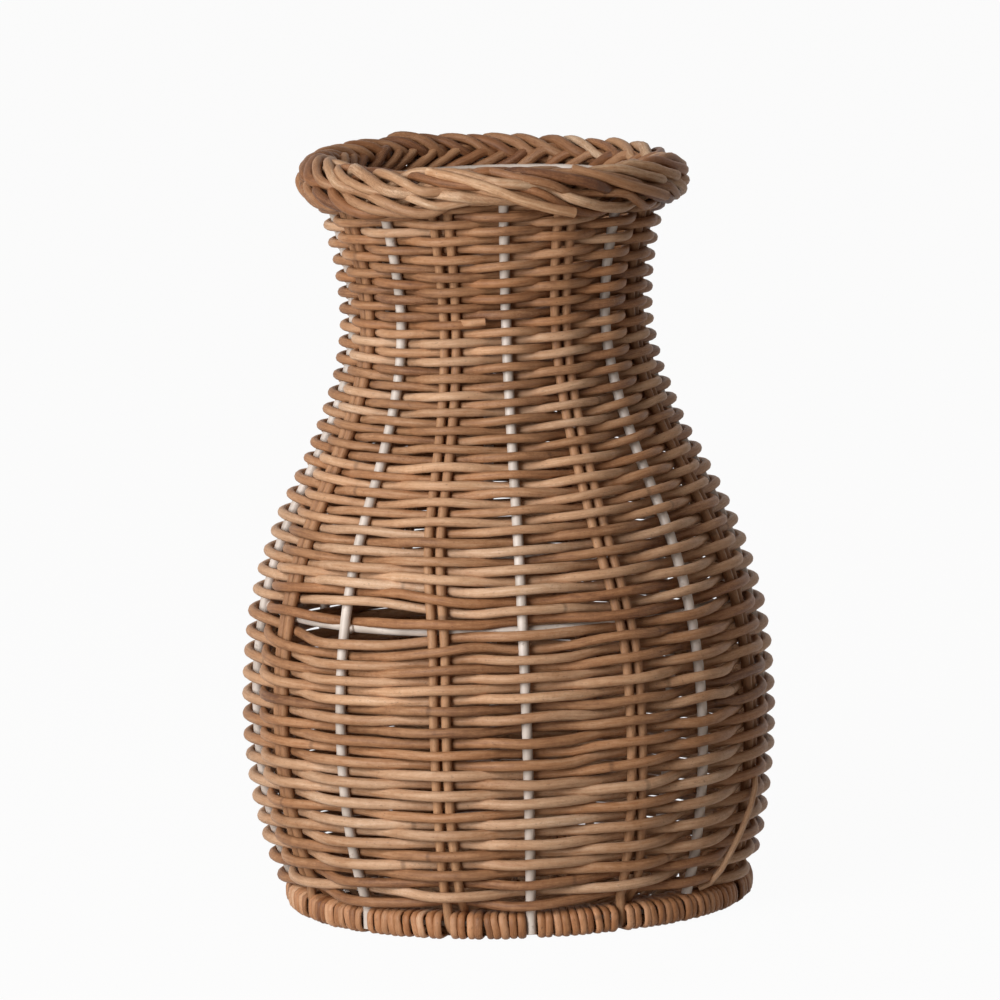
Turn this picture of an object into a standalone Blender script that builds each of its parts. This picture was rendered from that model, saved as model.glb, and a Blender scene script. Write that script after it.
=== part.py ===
# Wicker vase: rattan woven round a painted steel wire frame, with a plaited border at the mouth
# and a base hoop bound in thin rattan. It stands on z = 0 with its axis on z, one wire at the front (-Y).

import bmesh
import bpy
from math import cos, floor, hypot, pi, radians, sin

# The warp line, which the wires and stakes follow: its radius at five heights, in metres.
FOOT_RADIUS = 0.1056
BELLY_RADIUS = 0.1202
SHOULDER_RADIUS = 0.0944
NECK_RADIUS = 0.0681
MOUTH_RADIUS = 0.0788
BELLY_HEIGHT = 0.0950
SHOULDER_HEIGHT = 0.2050
NECK_HEIGHT = 0.2870
TOTAL_HEIGHT = 0.3620
# How fast that radius changes with height at the foot, the shoulder and the mouth.
FOOT_FLARE = 0.40
SHOULDER_SLOPE = -0.52
MOUTH_FLARE = 0.30

# Steel frame: eight wires, with a stake midway between each two.
WIRE_DIAMETER = 0.0049
WIRE_COUNT = 8
HOOP_DIAMETER = 0.0045
BASE_HOOP_DIAMETER = 0.0064
BELLY_HOOP_HEIGHT = 0.1475
RIM_HOOP_DROP = 0.0170
WIRE_END_HEIGHT = 0.0025
WARP_END_DROP = 0.0100

# Rattan: stakes in pairs, rods woven round them, thin strand on the base hoop.
STAKE_DIAMETER = 0.0046
STAKE_SPACING = 0.0059
STAKE_SPACING_FOOT = 0.0080
STAKE_SPACING_MOUTH = 0.0080
# The two legs of a stake come together over this share of the way from the foot to the shoulder,
# and its loop goes this far round the base hoop, a little narrower than the legs.
STAKE_SPREAD_SHARE = 0.25
STAKE_LOOP_TURN = 280
STAKE_LOOP_SHARE = 0.85
# Below the shoulder the first and last stakes stand a few degrees to the right of the middle.
STAKE_SHIFTS = {0: 3.2, 7: 3.0}
STAKE_SHIFT_LOW = 0.130
STAKE_SHIFT_HIGH = 0.200
ROD_DIAMETER = 0.0047
BINDING_STRAND = 0.0024
BINDING_HEIGHT = 0.0132
BINDING_COVER = 0.0017
BINDING_CORNER = 0.0037

# Rows of weaving: their pitch on the belly and on the neck, and the heights between which it changes.
# Two rods are woven at once, so each climbs two rows a turn, and the first starts at this share of a row.
ROW_PITCH_BELLY = 0.00495
ROW_PITCH_NECK = 0.00405
PITCH_CHANGE_LOW = 0.140
PITCH_CHANGE_HIGH = 0.215
FIRST_ROW_SHIFT = -1.5
ROWS_PER_TURN = 2
# How far the wall's outer side stands off the warp line beside a rod: behind a warp, and between warps.
RELIEF_VALLEY = 0.0036
RELIEF_CROSSING = 0.0029

# Plaited border and woven floor.
BORDER_HEIGHT = 0.0240
BORDER_DEPTH = 0.0206
BORDER_OVERHANG = 0.0050
BORDER_LANES = 42
BORDER_LANE_DEPTH = 0.0022
BORDER_LANE_SLANT = 3
FLOOR_THICKNESS = 0.0090
FLOOR_STAND_OFF = 0.0027

# Gap between pieces that touch.
GAP = 0.0003

HOOP_STEPS = 48
WALL_STEPS = 32
HOOP_CORNERS = 6
BORDER_CORNERS = 12
LOOP_STEPS = 7
ARC_STEPS = 5
SHARP_EDGE = 50
TUBE_RESOLUTION = 1
LEVELS_BELOW_HOOP = 4
LEVELS_ABOVE_HOOP = 8

FOOT_HEIGHT = BINDING_HEIGHT
WALL_BOTTOM = BINDING_HEIGHT + GAP
RIM_HOOP_HEIGHT = TOTAL_HEIGHT - RIM_HOOP_DROP
BORDER_BOTTOM = TOTAL_HEIGHT - BORDER_HEIGHT
WALL_TOP = BORDER_BOTTOM - GAP
WARP_TOP = TOTAL_HEIGHT - WARP_END_DROP
# A rod passes outside and inside each wire, so the wall is a wire and two rods thick.
WALL_HALF = WIRE_DIAMETER / 2 + GAP + ROD_DIAMETER - GAP / 2


def rattan(name, color, roughness):
    """Natural rattan rod with a dull, dry skin."""
    material = bpy.data.materials.new(name)
    material.use_nodes = True
    shader = material.node_tree.nodes["Principled BSDF"]
    shader.inputs["Base Color"].default_value = (*color, 1.0)
    shader.inputs["Roughness"].default_value = roughness
    return material


def painted_steel(name, color):
    """Steel wire under a thin coat of warm grey paint."""
    material = bpy.data.materials.new(name)
    material.use_nodes = True
    shader = material.node_tree.nodes["Principled BSDF"]
    shader.inputs["Base Color"].default_value = (*color, 1.0)
    shader.inputs["Roughness"].default_value = 0.45
    shader.inputs["Metallic"].default_value = 0.0
    return material


def hermite(t, start, end, start_slope, end_slope, span):
    """Value at t of the cubic between two radii with the slopes given, over a height span."""
    a = 2 * t ** 3 - 3 * t ** 2 + 1
    b = t ** 3 - 2 * t ** 2 + t
    c = t ** 3 - t ** 2
    return a * start + b * span * start_slope + (1 - a) * end + c * span * end_slope


def warp_radius(z):
    """Radius of the warp line at height z; below the foot it runs straight down."""
    stations = (
        (FOOT_HEIGHT, FOOT_RADIUS, FOOT_FLARE),
        (BELLY_HEIGHT, BELLY_RADIUS, 0.0),
        (SHOULDER_HEIGHT, SHOULDER_RADIUS, SHOULDER_SLOPE),
        (NECK_HEIGHT, NECK_RADIUS, 0.0),
        (RIM_HOOP_HEIGHT, MOUTH_RADIUS, MOUTH_FLARE),
    )
    if z <= FOOT_HEIGHT:
        return FOOT_RADIUS
    if z >= RIM_HOOP_HEIGHT:
        return MOUTH_RADIUS + MOUTH_FLARE * (z - RIM_HOOP_HEIGHT)
    for low, high in zip(stations, stations[1:]):
        if z <= high[0]:
            span = high[0] - low[0]
            return hermite((z - low[0]) / span, low[1], high[1], low[2], high[2], span)


def warp_slope(z):
    """Rate of change of the warp radius at height z."""
    step = 0.0005
    return (warp_radius(z + step) - warp_radius(z - step)) / (2 * step)


def offset_radius(z, distance):
    """Radius at height z of a surface that lies a distance outside the warp line, square to it."""
    return warp_radius(z) + distance * hypot(1.0, warp_slope(z))


def spaced(low, high, count):
    """Heights from low to high in equal steps, without the last."""
    return [low + (high - low) * i / count for i in range(count)]


def levels(low, high):
    """Heights from low to high that share the belly hoop and the rim hoop as stations."""
    heights = spaced(WALL_BOTTOM, BELLY_HOOP_HEIGHT, LEVELS_BELOW_HOOP)
    heights += spaced(BELLY_HOOP_HEIGHT, WALL_TOP, LEVELS_ABOVE_HOOP)
    heights += [WALL_TOP, RIM_HOOP_HEIGHT]
    inner = [z for z in heights if low < z < high]
    return [low] + inner + [high]


def place(radius, azimuth, sideways, z):
    """Point at an azimuth counted from the front, positive to the right, and moved sideways."""
    x = radius * sin(azimuth) + sideways * cos(azimuth)
    y = -radius * cos(azimuth) + sideways * sin(azimuth)
    return (x, y, z)


def base_hoop_radius():
    return FOOT_RADIUS - WIRE_DIAMETER / 2 - GAP - BASE_HOOP_DIAMETER / 2


def base_hoop_height():
    """The stakes loop under the base hoop and stay clear of the ground."""
    return STAKE_DIAMETER + 2 * GAP + BASE_HOOP_DIAMETER / 2


def inner_hoop_radius(z):
    """Radius of a hoop that is welded to the inner side of the wires at height z."""
    return offset_radius(z, -(WIRE_DIAMETER + HOOP_DIAMETER) / 2 - GAP)


def link(obj, collection, material=None):
    collection.objects.link(obj)
    if material is not None:
        obj.data.materials.append(material)
    return obj


def tube(name, points, diameter, collection, material):
    """Round rod along a run of points, with filled ends."""
    curve = bpy.data.curves.new(name, "CURVE")
    curve.dimensions = "3D"
    curve.bevel_depth = diameter / 2
    curve.bevel_resolution = TUBE_RESOLUTION
    curve.use_fill_caps = True
    spline = curve.splines.new("POLY")
    spline.points.add(len(points) - 1)
    for point, co in zip(spline.points, points):
        point.co = (*co, 1.0)
    spline.use_smooth = True
    return link(bpy.data.objects.new(name, curve), collection, material)


def rod_mesh(name, points, diameter, collection):
    """The same rod as a closed mesh, for cutting."""
    source = tube(name + "_path", points, diameter, bpy.context.scene.collection, None)
    bpy.context.view_layer.update()
    evaluated = source.evaluated_get(bpy.context.evaluated_depsgraph_get())
    mesh = bpy.data.meshes.new_from_object(evaluated)
    mesh.name = name
    bm = bmesh.new()
    bm.from_mesh(mesh)
    bmesh.ops.remove_doubles(bm, verts=bm.verts, dist=0.00001)
    bmesh.ops.recalc_face_normals(bm, faces=bm.faces)
    bm.to_mesh(mesh)
    bm.free()
    obj = bpy.data.objects.new(name, mesh)
    obj.matrix_world = source.matrix_world
    bpy.data.objects.remove(source)
    return link(obj, collection)


def as_cutter(obj):
    obj.hide_render = True
    obj.display_type = "WIRE"
    return obj


def turned(name, profile, collection, material=None, closed=True):
    """Solid of revolution from a profile of (radius, z) points that runs down its outer side."""
    mesh = bpy.data.meshes.new(name)
    edges = [(i, i + 1) for i in range(len(profile) - 1)]
    if closed:
        edges.append((len(profile) - 1, 0))
    mesh.from_pydata([(r, 0.0, z) for r, z in profile], edges, [])
    obj = link(bpy.data.objects.new(name, mesh), collection, material)
    screw = obj.modifiers.new("turn", "SCREW")
    screw.steps = HOOP_STEPS
    screw.render_steps = HOOP_STEPS
    screw.use_merge_vertices = True
    screw.merge_threshold = 0.00001
    screw.use_smooth_shade = True
    return obj


def ring_profile(radius, z, half_width, half_height, count, first=pi / 2):
    """Oval section centred at a radius and height, running down its outer side from its first angle."""
    points = []
    for i in range(count):
        angle = first - 2 * pi * i / count
        points.append((radius + half_width * cos(angle), z + half_height * sin(angle)))
    return points


def cut(obj, cutters):
    """Takes each cutter of a collection away from the object."""
    boolean = obj.modifiers.new("cut", "BOOLEAN")
    boolean.operation = "DIFFERENCE"
    boolean.operand_type = "COLLECTION"
    boolean.collection = cutters
    boolean.solver = "EXACT"
    boolean.use_self = True
    return obj


def hoop(name, radius, z, diameter, collection, material=None):
    """Round wire bent to a ring; a corner of its section faces outward."""
    section = ring_profile(radius, z, diameter / 2, diameter / 2, HOOP_CORNERS, 0.0)
    return turned(name, section, collection, material)


def wire_points(azimuth):
    """Wire upright, from beside the base hoop to inside the border."""
    heights = [WIRE_END_HEIGHT] + levels(FOOT_HEIGHT, WARP_TOP)
    return [place(warp_radius(z), azimuth, 0.0, z) for z in heights]


def stake_spread(z):
    """Half the distance between the two legs of a stake at height z."""
    low_end = FOOT_HEIGHT + STAKE_SPREAD_SHARE * (SHOULDER_HEIGHT - FOOT_HEIGHT)
    if z < low_end:
        share = (low_end - z) / (low_end - FOOT_HEIGHT)
        return (STAKE_SPACING + (STAKE_SPACING_FOOT - STAKE_SPACING) * min(share, 1.0)) / 2
    if z > NECK_HEIGHT:
        share = (z - NECK_HEIGHT) / (WARP_TOP - NECK_HEIGHT)
        return (STAKE_SPACING + (STAKE_SPACING_MOUTH - STAKE_SPACING) * share) / 2
    return STAKE_SPACING / 2


def stake_azimuth(number, z):
    """Azimuth of a stake at height z: midway between two wires, apart from its shift."""
    share = (STAKE_SHIFT_HIGH - z) / (STAKE_SHIFT_HIGH - STAKE_SHIFT_LOW)
    share = min(max(share, 0.0), 1.0)
    ease = share * share * (3 - 2 * share)
    return 2 * pi * (number + 0.5) / WIRE_COUNT + radians(STAKE_SHIFTS.get(number, 0.0)) * ease


def stake_points(number):
    """Stake doubled round the base hoop: down one leg, once round the hoop and up the other leg."""
    turn = (BASE_HOOP_DIAMETER + STAKE_DIAMETER) / 2 + GAP
    hoop_radius = base_hoop_radius()
    hoop_z = base_hoop_height()
    leg_bottom = (FOOT_HEIGHT + levels(FOOT_HEIGHT, WARP_TOP)[2]) / 2
    heights = [leg_bottom] + [z for z in levels(FOOT_HEIGHT, WARP_TOP) if z > leg_bottom]
    legs = [(warp_radius(z), stake_spread(z), z) for z in heights]
    spread = stake_spread(leg_bottom)
    azimuth = stake_azimuth(number, FOOT_HEIGHT)
    points = [place(r, stake_azimuth(number, z), -s, z) for r, s, z in reversed(legs)]
    points.append(place(FOOT_RADIUS, azimuth, -spread, FOOT_HEIGHT))
    for i in range(LOOP_STEPS + 1):
        angle = radians(STAKE_LOOP_TURN) * i / LOOP_STEPS
        side = spread * (2 * i / LOOP_STEPS - 1) * STAKE_LOOP_SHARE
        radius = hoop_radius + turn * cos(angle)
        points.append(place(radius, azimuth, side, hoop_z - turn * sin(angle)))
    points += [place(r, stake_azimuth(number, z), s, z) for r, s, z in legs]
    return points


def binding_inner_radius():
    return base_hoop_radius() - BASE_HOOP_DIAMETER / 2 - GAP - BINDING_STRAND


def binding_profile():
    """Section of the bound base ring: flat where it stands, with rounded corners."""
    inner = binding_inner_radius()
    outer = FOOT_RADIUS + WIRE_DIAMETER / 2 + BINDING_COVER
    top = BINDING_HEIGHT - BINDING_CORNER
    centres = (
        (outer - BINDING_CORNER, top, 90),
        (outer - BINDING_CORNER, BINDING_CORNER, 0),
        (inner + BINDING_CORNER, BINDING_CORNER, -90),
        (inner + BINDING_CORNER, top, -180),
    )
    points = []
    for r, z, start in centres:
        for turn in (0, 45, 90):
            angle = radians(start - turn)
            points.append((r + BINDING_CORNER * cos(angle), z + BINDING_CORNER * sin(angle)))
    return points


def binding_arc(name, first, last, collection, material):
    """Length of binding between two stakes: the ring's section swept along an arc, ends closed."""
    mesh = bpy.data.meshes.new(name)
    bm = bmesh.new()
    start = first - pi / 2
    verts = [bm.verts.new((r * cos(start), r * sin(start), z)) for r, z in binding_profile()]
    edges = [bm.edges.new((verts[i - 1], verts[i])) for i in range(len(verts))]
    sweep = {"angle": last - first, "steps": ARC_STEPS}
    bmesh.ops.spin(bm, geom=verts + edges, cent=(0, 0, 0), axis=(0, 0, 1), **sweep)
    bmesh.ops.holes_fill(bm, edges=[e for e in bm.edges if e.is_boundary])
    bmesh.ops.recalc_face_normals(bm, faces=bm.faces)
    bm.to_mesh(mesh)
    bm.free()
    mesh.shade_smooth()
    mesh.set_sharp_from_angle(angle=radians(SHARP_EDGE))
    return link(bpy.data.objects.new(name, mesh), collection, material)


def notch(name, azimuth, collection):
    """Slot through the outer side of the binding that leaves a wire's end in view."""
    width = WIRE_DIAMETER + 2 * GAP
    depth = WIRE_DIAMETER / 2 + 2 * BINDING_COVER
    low = WIRE_END_HEIGHT - GAP
    height = BINDING_HEIGHT + GAP - low
    bpy.ops.mesh.primitive_cube_add(size=1)
    obj = bpy.context.object
    obj.name = name
    for owner in list(obj.users_collection):
        owner.objects.unlink(obj)
    obj.scale = (width, depth, height)
    obj.rotation_euler = (0, 0, azimuth)
    obj.location = place(FOOT_RADIUS + depth / 2, azimuth, 0.0, low + height / 2)
    return link(obj, collection)


def row_heights():
    """Height of each whole row, from one below the base ring to one above the border's underside."""
    table = [WALL_BOTTOM + ROD_DIAMETER / 2]
    while table[-1] < BORDER_BOTTOM:
        share = (table[-1] - PITCH_CHANGE_LOW) / (PITCH_CHANGE_HIGH - PITCH_CHANGE_LOW)
        share = min(max(share, 0.0), 1.0)
        ease = share * share * (3 - 2 * share)
        table.append(table[-1] + ROW_PITCH_BELLY + (ROW_PITCH_NECK - ROW_PITCH_BELLY) * ease)
    return table


ROWS = row_heights()


def row_height(level):
    """Height of a row number, which need not be whole."""
    if level < 0:
        return ROWS[0] + level * ROW_PITCH_BELLY
    whole = min(int(level), len(ROWS) - 2)
    return ROWS[whole] + (level - whole) * (ROWS[whole + 1] - ROWS[whole])


def row_level(z):
    """Row number at a height, the other way round."""
    if z < ROWS[0]:
        return (z - ROWS[0]) / ROW_PITCH_BELLY
    for whole in range(len(ROWS) - 1):
        if z <= ROWS[whole + 1]:
            break
    return whole + (z - ROWS[whole]) / (ROWS[whole + 1] - ROWS[whole])


def climb(step):
    """Row number at which the first rod stands after some steps round the wall."""
    return FIRST_ROW_SHIFT + ROWS_PER_TURN * step / WALL_STEPS


def weave_offset(step, z):
    """How far the weave stands outside the warp line: rods pass in front of every second warp.

    The last row lies full under the border."""
    if z >= WALL_TOP:
        return WALL_HALF
    if step % 2:
        return RELIEF_CROSSING
    row = row_level(z) - climb(step)
    whole = floor(row)
    at_stake = (step // 2) % 2
    front = [1.0 if (whole + k + at_stake) % 2 == 0 else 0.0 for k in (0, 1)]
    share = front[0] + (front[1] - front[0]) * (row - whole)
    return RELIEF_VALLEY + (WALL_HALF - RELIEF_VALLEY) * share


def woven_wall(name, bottom, top, collection, material):
    """Closed wall with the weave's rows and crossings on its outer side, from bottom to top."""
    bm = bmesh.new()
    made = {}

    def outer(step, row):
        """Vertex of the outer side at a step round and a row of the first rod, kept within the wall."""
        if step == WALL_STEPS:
            step = 0
            row += ROWS_PER_TURN
        z = min(max(row_height(row + climb(step)), bottom), top)
        return outer_at(step, z)

    def outer_at(step, z):
        key = ("outer", step, round(z, 7))
        if key not in made:
            radius = offset_radius(z, weave_offset(step, z))
            made[key] = bm.verts.new(place(radius, 2 * pi * step / WALL_STEPS, 0.0, z))
        return made[key]

    def inner_at(step, z):
        key = ("inner", step, round(z, 7))
        if key not in made:
            radius = offset_radius(z, -WALL_HALF)
            made[key] = bm.verts.new(place(radius, 2 * pi * step / WALL_STEPS, 0.0, z))
        return made[key]

    def face(corners):
        ring = [v for i, v in enumerate(corners) if v is not corners[i - 1]]
        if len(set(ring)) > 2:
            bm.faces.new(ring)

    first = floor(row_level(bottom)) - 2
    last = floor(row_level(top)) + 3
    heights = levels(bottom, top)
    for step in range(WALL_STEPS):
        for row in range(first, last):
            face([outer(step, row), outer(step + 1, row), outer(step + 1, row + 1), outer(step, row + 1)])
        after = (step + 1) % WALL_STEPS
        for low, high in zip(heights, heights[1:]):
            face([inner_at(after, low), inner_at(step, low), inner_at(step, high), inner_at(after, high)])
        for z in (bottom, top):
            face([outer_at(step, z), outer_at(after, z), inner_at(after, z), inner_at(step, z)])
    bmesh.ops.recalc_face_normals(bm, faces=bm.faces)
    mesh = bpy.data.meshes.new(name)
    bm.to_mesh(mesh)
    bm.free()
    mesh.shade_smooth()
    mesh.set_sharp_from_angle(angle=radians(SHARP_EDGE))
    return link(bpy.data.objects.new(name, mesh), collection, material)


def plaited_ring(name, collection, material):
    """Closed ring whose strands slant down both of its faces from its top."""
    bm = bmesh.new()
    stations = 2 * BORDER_LANES
    grid = []
    for k in range(stations):
        depth = BORDER_LANE_DEPTH * (k % 2)
        section = ring_profile(
            MOUTH_RADIUS + BORDER_OVERHANG,
            TOTAL_HEIGHT - BORDER_HEIGHT / 2,
            BORDER_DEPTH / 2 - depth,
            BORDER_HEIGHT / 2 - depth,
            BORDER_CORNERS,
        )
        ring = []
        for j, (radius, z) in enumerate(section):
            down = 1 - abs(2 * j / BORDER_CORNERS - 1)
            azimuth = 2 * pi * (k / stations + BORDER_LANE_SLANT * down / BORDER_LANES)
            ring.append(bm.verts.new(place(radius, azimuth, 0.0, z)))
        grid.append(ring)
    for k in range(stations):
        for j in range(BORDER_CORNERS):
            across = (j + 1) % BORDER_CORNERS
            after = (k + 1) % stations
            bm.faces.new((grid[k][j], grid[k][across], grid[after][across], grid[after][j]))
    bmesh.ops.recalc_face_normals(bm, faces=bm.faces)
    mesh = bpy.data.meshes.new(name)
    bm.to_mesh(mesh)
    bm.free()
    mesh.shade_smooth()
    return link(bpy.data.objects.new(name, mesh), collection, material)


def rim_slot_profile():
    """Space under the border for the ends of the wires and stakes, open inward below the rim hoop's top."""
    half = WIRE_DIAMETER / 2 + GAP
    top = WARP_TOP + GAP + MOUTH_FLARE * WIRE_DIAMETER / 2
    hoop_top = RIM_HOOP_HEIGHT + HOOP_DIAMETER / 2 + GAP
    below = BORDER_BOTTOM - BORDER_HEIGHT / 4
    inside = inner_hoop_radius(RIM_HOOP_HEIGHT) - BORDER_DEPTH / 2
    outer = [(offset_radius(z, half), z) for z in reversed(levels(below, top))]
    inner = [(inside, below), (inside, hoop_top)]
    inner += [(offset_radius(z, -half), z) for z in (hoop_top, top)]
    return outer + inner


def floor_profile():
    """Section of the woven floor, which fits inside the base ring, from its top to its underside."""
    edge = binding_inner_radius() - GAP
    middle = FLOOR_STAND_OFF + FLOOR_THICKNESS / 2
    half = FLOOR_THICKNESS / 2
    points = [(0.0, middle + half), (edge - half, middle + half)]
    for k in range(1, 4):
        angle = pi / 2 - pi * k / 4
        points.append((edge - half + half * cos(angle), middle + half * sin(angle)))
    points += [(edge - half, middle - half), (0.0, middle - half)]
    return points


def build():
    for obj in list(bpy.data.objects):
        bpy.data.objects.remove(obj)
    scene_root = bpy.context.scene.collection
    parts = bpy.data.collections.new("wicker_vase")
    warp_cutters = bpy.data.collections.new("warp_cutters")
    base_cutters = bpy.data.collections.new("base_cutters")
    rim_cutters = bpy.data.collections.new("rim_cutters")
    for collection in (parts, warp_cutters, base_cutters, rim_cutters):
        scene_root.children.link(collection)

    steel = painted_steel("painted_steel_wire", (0.50, 0.46, 0.40))
    stake_skin = rattan("rattan_stake", (0.34, 0.17, 0.080), 0.62)
    rod_skin = rattan("rattan_rod", (0.40, 0.21, 0.100), 0.60)
    strand_skin = rattan("rattan_binding", (0.33, 0.15, 0.070), 0.66)

    hoop("base_hoop", base_hoop_radius(), base_hoop_height(), BASE_HOOP_DIAMETER, parts, steel)
    hoop("rim_hoop", inner_hoop_radius(RIM_HOOP_HEIGHT), RIM_HOOP_HEIGHT, HOOP_DIAMETER, parts, steel)
    belly_hoop_radius = inner_hoop_radius(BELLY_HOOP_HEIGHT)
    hoop("belly_hoop", belly_hoop_radius, BELLY_HOOP_HEIGHT, HOOP_DIAMETER, parts, steel)
    seat = HOOP_DIAMETER + 2 * GAP
    as_cutter(hoop("belly_hoop_seat", belly_hoop_radius, BELLY_HOOP_HEIGHT, seat, warp_cutters))
    bore = BASE_HOOP_DIAMETER + 2 * GAP
    as_cutter(hoop("base_hoop_seat", base_hoop_radius(), base_hoop_height(), bore, base_cutters))

    pitch = 2 * pi / WIRE_COUNT
    loop_half = (stake_spread(FOOT_HEIGHT) + STAKE_DIAMETER / 2 + 2 * GAP) / base_hoop_radius()
    arcs = []
    for i in range(WIRE_COUNT):
        at_wire = i * pitch
        first = stake_azimuth((i - 1) % WIRE_COUNT, FOOT_HEIGHT) + loop_half
        last = stake_azimuth(i, FOOT_HEIGHT) - loop_half
        if i == 0:
            first -= 2 * pi
        number = str(i + 1)
        tube("wire_" + number, wire_points(at_wire), WIRE_DIAMETER, parts, steel)
        tube("stake_" + number, stake_points(i), STAKE_DIAMETER, parts, stake_skin)
        wire_bore = WIRE_DIAMETER + 2 * GAP
        stake_bore = STAKE_DIAMETER + 2 * GAP
        as_cutter(rod_mesh("wire_seat_" + number, wire_points(at_wire), wire_bore, warp_cutters))
        as_cutter(rod_mesh("stake_seat_" + number, stake_points(i), stake_bore, warp_cutters))
        as_cutter(rod_mesh("wire_end_seat_" + number, wire_points(at_wire), wire_bore, base_cutters))
        as_cutter(notch("notch_" + number, at_wire, base_cutters))
        arcs.append(binding_arc("base_binding_" + number, first, last, parts, strand_skin))
    for arc in arcs:
        cut(arc, base_cutters)

    split = BELLY_HOOP_HEIGHT
    cut(woven_wall("woven_belly", WALL_BOTTOM, split - GAP / 2, parts, rod_skin), warp_cutters)
    cut(woven_wall("woven_shoulder", split + GAP / 2, WALL_TOP, parts, rod_skin), warp_cutters)
    as_cutter(turned("rim_slot", rim_slot_profile(), rim_cutters))
    cut(plaited_ring("plaited_border", parts, rod_skin), rim_cutters)
    cut(turned("woven_floor", floor_profile(), parts, rod_skin, closed=False), warp_cutters)


build()
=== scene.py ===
import bmesh
import bpy
import random
from math import atan2, cos, exp, hypot, pi, radians, sin, tanh, tau
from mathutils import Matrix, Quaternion, Vector
from mathutils.noise import noise as smooth_noise


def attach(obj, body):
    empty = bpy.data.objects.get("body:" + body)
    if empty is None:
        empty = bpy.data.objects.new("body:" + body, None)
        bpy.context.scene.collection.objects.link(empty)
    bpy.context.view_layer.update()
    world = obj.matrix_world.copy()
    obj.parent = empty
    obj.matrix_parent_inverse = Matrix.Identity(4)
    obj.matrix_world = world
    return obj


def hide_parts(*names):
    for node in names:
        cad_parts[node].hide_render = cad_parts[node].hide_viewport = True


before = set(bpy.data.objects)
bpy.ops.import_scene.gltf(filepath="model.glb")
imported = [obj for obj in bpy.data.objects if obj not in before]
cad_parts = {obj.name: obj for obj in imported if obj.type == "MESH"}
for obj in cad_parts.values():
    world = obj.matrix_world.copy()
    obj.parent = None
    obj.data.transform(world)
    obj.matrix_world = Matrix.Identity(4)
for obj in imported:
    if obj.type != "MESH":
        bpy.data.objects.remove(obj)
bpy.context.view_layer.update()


# Camera: a long lens almost four metres away, a little above the mouth, so that the rim shows as a
# shallow oval. It is rolled slightly, as the vase leans in the picture, and stands just left of wire 1.
CAMERA_AZIMUTH = radians(-3.7)
CAMERA_DISTANCE = 3.795
CAMERA_HEIGHT = 0.757
CAMERA_ROLL = radians(-1.9)
CAMERA_TARGET = Vector((-0.0013, 0.0, 0.1933))
CAMERA_LENS = 288.0
CAMERA_SENSOR = 36.0

camera_data = bpy.data.cameras.new("camera")
camera_data.lens = CAMERA_LENS
camera_data.sensor_width = CAMERA_SENSOR
camera_data.clip_end = 50.0
camera = bpy.data.objects.new("camera", camera_data)
bpy.context.scene.collection.objects.link(camera)
camera.location = (
    CAMERA_DISTANCE * sin(CAMERA_AZIMUTH),
    -CAMERA_DISTANCE * cos(CAMERA_AZIMUTH),
    CAMERA_HEIGHT,
)
line_of_sight = CAMERA_TARGET - camera.location
camera.rotation_mode = "QUATERNION"
camera.rotation_quaternion = line_of_sight.to_track_quat("-Z", "Y") @ Quaternion((0, 0, 1), CAMERA_ROLL)
bpy.context.scene.camera = camera
bpy.context.scene.view_settings.view_transform = "Standard"


# Floor, sky and lamps: a plain white sweep under soft daylight. The camera sees the sky as pure white,
# and the floor as nearly white with the vase's own shadow left on it.
FLOOR_HALF_SIZE = 6.0
FLOOR_COLOUR = "#C9C7C3"
FLOOR_GRAIN_COLOUR = "#C5C3BF"
FLOOR_GRAIN_MM = 1.111
# What share of the floor the camera sees as plain white, so that the rest shows the shadow.
FLOOR_GLOW = 0.96
SKY_LIGHT = 0.135
SKY_COLOUR = "#FFE6CE"
# Square soft boxes: place, point that it faces, side, watts, colour. The key stands to the camera's left.
SOFT_BOXES = {
    "key_soft_box": ((-1.70, -1.73, 1.00), (0.0, 0.0, 0.16), 1.5, 77.0, "#FCFCFD"),
    "top_soft_box": ((-0.2, -0.3, 2.0), (0.0, 0.0, 0.2), 1.2, 2.0, "#FFFFFF"),
}


def linear(hex_colour):
    """Turns an sRGB hex colour to the linear values that a shader takes."""
    values = []
    for i in (1, 3, 5):
        c = int(hex_colour[i:i + 2], 16) / 255
        values.append(c / 12.92 if c <= 0.04045 else ((c + 0.055) / 1.055) ** 2.4)
    return (*values, 1.0)


def add_node(tree, kind, inputs=None, **settings):
    """Adds a node. Each input is linked to the socket given, or set to the value given.

    A setting that is no property of the node sets its input of that name."""
    node = tree.nodes.new(kind)
    for name, value in settings.items():
        if hasattr(node, name):
            setattr(node, name, value)
    for name, value in settings.items():
        if not hasattr(node, name):
            node.inputs[name].default_value = value
    for name, value in (inputs or {}).items():
        if isinstance(value, bpy.types.NodeSocket):
            tree.links.new(value, node.inputs[name])
        else:
            node.inputs[name].default_value = value
    return node


def empty_material(name):
    material = bpy.data.materials.new(name)
    material.use_nodes = True
    material.node_tree.nodes.clear()
    return material


def seen_directly(tree):
    """1 for what the camera sees itself, in a mirror or through glass."""
    path = add_node(tree, "ShaderNodeLightPath")
    seen = path.outputs["Is Camera Ray"]
    for other in ("Is Glossy Ray", "Is Transmission Ray"):
        either = add_node(tree, "ShaderNodeMath", {0: seen, 1: path.outputs[other]}, operation="MAXIMUM")
        seen = either.outputs[0]
    return seen


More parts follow.
